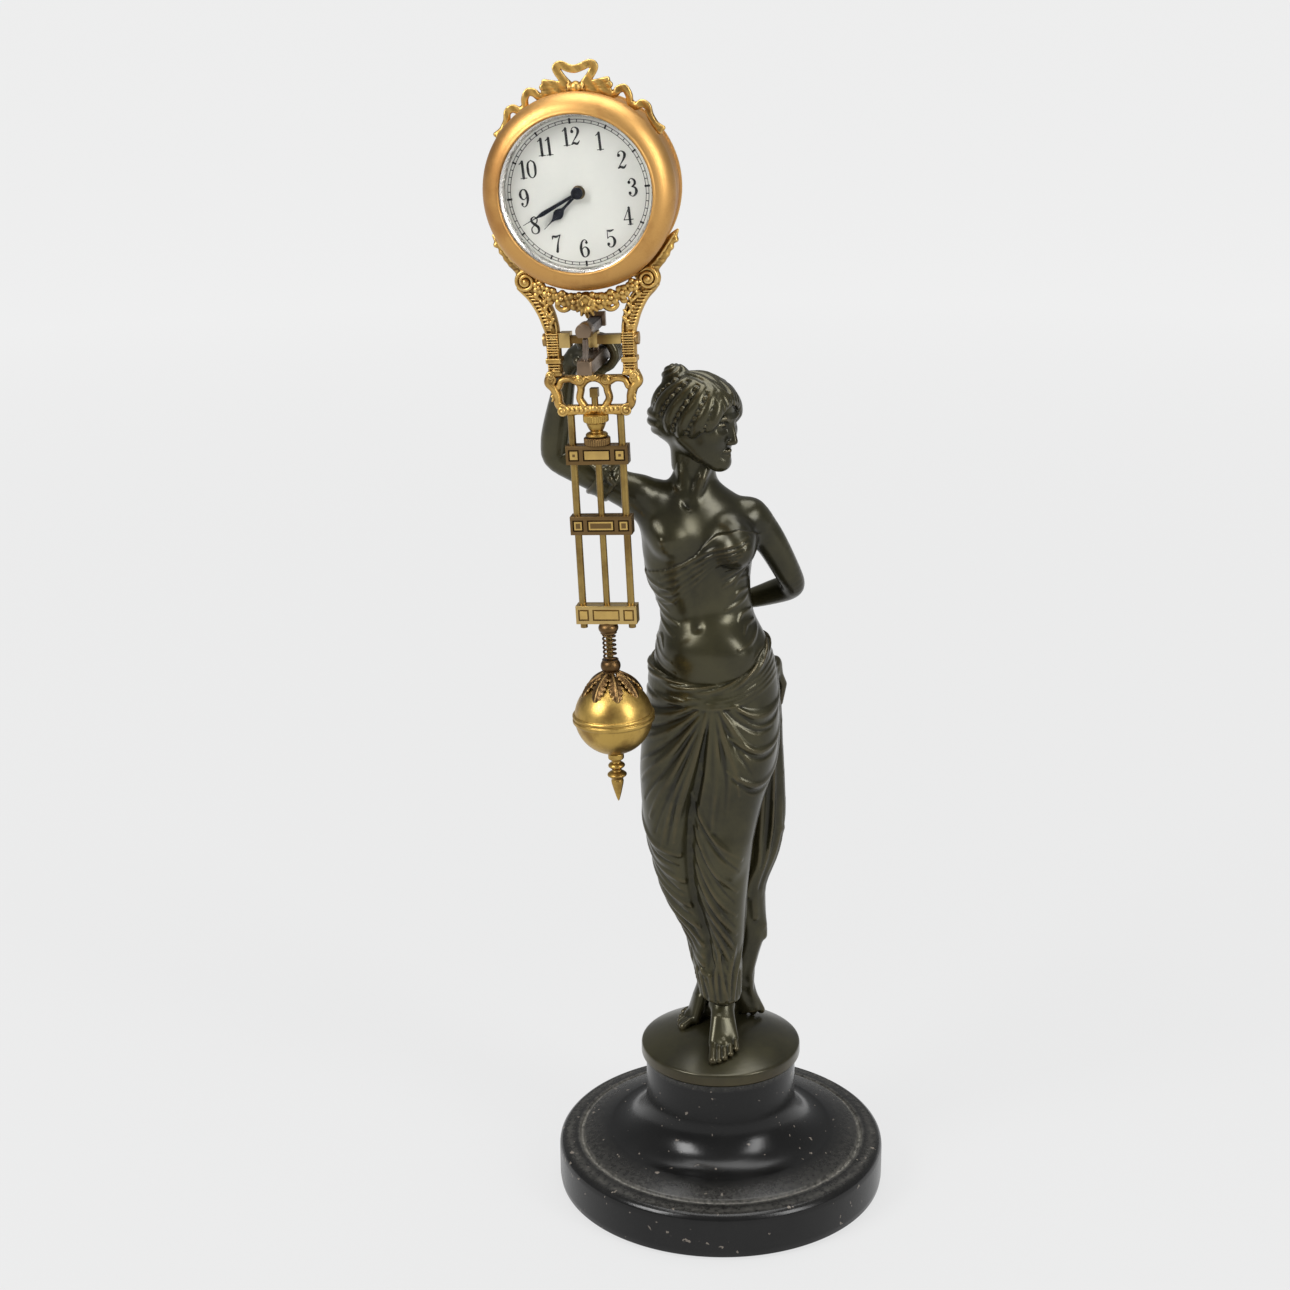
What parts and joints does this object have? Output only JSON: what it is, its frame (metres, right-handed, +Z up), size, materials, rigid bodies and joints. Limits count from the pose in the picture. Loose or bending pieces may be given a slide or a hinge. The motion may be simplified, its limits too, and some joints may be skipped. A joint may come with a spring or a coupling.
{
  "type": "swinging figure mystery clock",
  "caption": "Bronzed figure of a draped woman on a turned black base, holding up a small gilt clock that swings as its own pendulum.",
  "frame": {"origin": "centre of the base underside, on the axis of the turned base", "axes": "+Z up, -Y the way the dial faces, +X to the right of someone facing the dial"},
  "size_m": [0.1177, 0.1082, 0.3676],
  "materials": {
    "lacquered_wood": "satin",
    "felt": "matte",
    "bronze": "satin",
    "steel": "satin",
    "gilt": "satin",
    "brass": "satin",
    "movement_brass": "satin",
    "dial_white": "satin",
    "blued_steel": "satin",
    "glass": "polished"
  },
  "bodies": {
    "stand": {"wooden_base": "lacquered_wood", "base_felt": "felt", "plinth_cap": "bronze", "fixing_stud": "steel", "fixing_washer": "steel", "fixing_nut": "steel", "figure_skirt": "bronze", "figure_torso": "bronze", "figure_head": "bronze", "raised_arm": "bronze", "armlet": "bronze", "bent_arm": "bronze", "back_drape": "bronze", "front_foot": "bronze", "rear_foot": "bronze", "hand_bracket": "steel", "pivot_pins": "steel"},
    "pendulum": {"bezel": "gilt", "glass": "glass", "dial": "dial_white", "case_band": "gilt", "back_cover": "gilt", "front_plate": "movement_brass", "rear_plate": "movement_brass", "plate_pillars": "movement_brass", "ribbon_crest": "gilt", "lyre_frame": "gilt", "flower_garland": "gilt", "crossbar": "brass", "crossbar_screws": "brass", "saddle": "steel", "openwork_bridge": "gilt", "side_rods": "brass", "centre_rod": "brass", "upper_bar": "brass", "middle_bar": "brass", "lower_bar": "brass", "vase_nut": "brass", "knurled_disc": "brass", "upper_collar": "brass", "rating_spring": "brass"},
    "minute": {"minute_hand": "blued_steel", "centre_arbor": "movement_brass", "set_knob": "brass"},
    "hour": {"hour_hand": "blued_steel", "hour_wheel": "movement_brass"},
    "motion": {"minute_wheel": "movement_brass"},
    "barrel": {"barrel": "movement_brass", "mainspring": "steel"},
    "winding": {"barrel_arbor": "steel", "winding_key": "brass"},
    "third": {"third_wheel": "movement_brass"},
    "escape": {"escape_wheel": "movement_brass"},
    "pallets": {"pallet_pendulum": "movement_brass"},
    "bob": {"lower_collar": "brass", "leaf_calyx": "brass", "ball_upper": "brass", "ball_lower": "brass", "bob_core": "brass"},
    "finial": {"finial_nut": "brass"}
  },
  "joints": [
    {"name": "pendulum_swing", "type": "hinge", "parent": "stand", "child": "pendulum", "pos_m": [-0.034, -0.03, 0.2915], "axis": [0, 1, 0], "range_deg": [-2, 7]},
    {"name": "escape_turn", "type": "hinge", "parent": "pendulum", "child": "escape", "pos_m": [-0.02829, -0.03, 0.34367], "axis": [0, 1, 0], "continuous": true},
    {"name": "minute_turn", "type": "hinge", "parent": "pendulum", "child": "minute", "pos_m": [-0.03574, -0.03, 0.33136], "axis": [0, 1, 0], "continuous": true},
    {"name": "hour_turn", "type": "hinge", "parent": "pendulum", "child": "hour", "pos_m": [-0.03574, -0.03, 0.33136], "axis": [0, 1, 0], "continuous": true},
    {"name": "motion_turn", "type": "hinge", "parent": "pendulum", "child": "motion", "pos_m": [-0.03109, -0.03, 0.32406], "axis": [0, 1, 0], "continuous": true},
    {"name": "barrel_turn", "type": "hinge", "parent": "pendulum", "child": "barrel", "pos_m": [-0.04353, -0.03, 0.32286], "axis": [0, 1, 0], "continuous": true},
    {"name": "third_turn", "type": "hinge", "parent": "pendulum", "child": "third", "pos_m": [-0.02641, -0.03, 0.33522], "axis": [0, 1, 0], "continuous": true},
    {"name": "winding_turn", "type": "hinge", "parent": "pendulum", "child": "winding", "pos_m": [-0.04353, -0.03, 0.32286], "axis": [0, 1, 0], "continuous": true},
    {"name": "pallet_swing", "type": "hinge", "parent": "pendulum", "child": "pallets", "pos_m": [-0.03255, -0.03, 0.35002], "axis": [0, 1, 0], "range_deg": [-4, 4]},
    {"name": "bob_rating", "type": "slide", "parent": "pendulum", "child": "bob", "axis": [-0.0436, 0, 0.999], "range_m": [-0.002, 0.002], "deforming": ["rating_spring"]},
    {"name": "finial_turn", "type": "hinge", "parent": "bob", "child": "finial", "pos_m": [-0.02798, -0.03, 0.15363], "axis": [-0.0436, 0, 0.999], "continuous": true}
  ],
  "couplings": [
    {"joint": "minute_turn", "follows": "escape_turn", "ratio": 0.027778},
    {"joint": "hour_turn", "follows": "escape_turn", "ratio": 0.0023148},
    {"joint": "motion_turn", "follows": "escape_turn", "ratio": -0.0092593},
    {"joint": "barrel_turn", "follows": "escape_turn", "ratio": -0.0046296},
    {"joint": "third_turn", "follows": "escape_turn", "ratio": -0.16667},
    {"joint": "finial_turn", "follows": "bob_rating", "rad_per_m": 7853.2}
  ]
}
